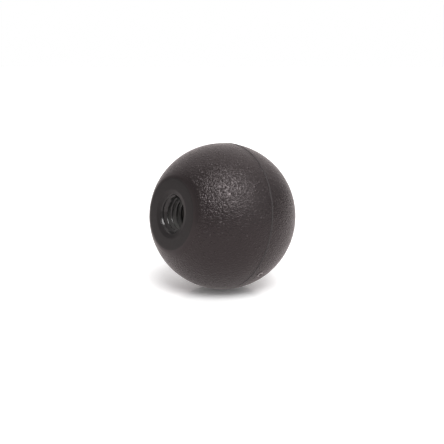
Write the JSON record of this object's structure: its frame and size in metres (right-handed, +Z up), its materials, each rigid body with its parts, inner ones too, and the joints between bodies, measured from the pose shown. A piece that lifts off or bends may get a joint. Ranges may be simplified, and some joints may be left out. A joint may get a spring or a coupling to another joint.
{
  "type": "ball knob",
  "caption": "Moulded black plastic ball knob with a flat seat face and a blind threaded bore, for the end of a lever or stud.",
  "frame": {"origin": "centre of the flat seat face, on the bore's axis", "axes": "-Y points out of the bore's mouth, +Y through the ball to its crown, +Z up with the knob lying on its round side"},
  "size_m": [0.0402, 0.0375, 0.0402],
  "materials": {
    "black_plastic": "fine spark-eroded grain on the ball, smooth on the seat face and in the bore"
  },
  "bodies": {
    "root": {"ball_knob": "black_plastic"}
  },
  "joints": []
}
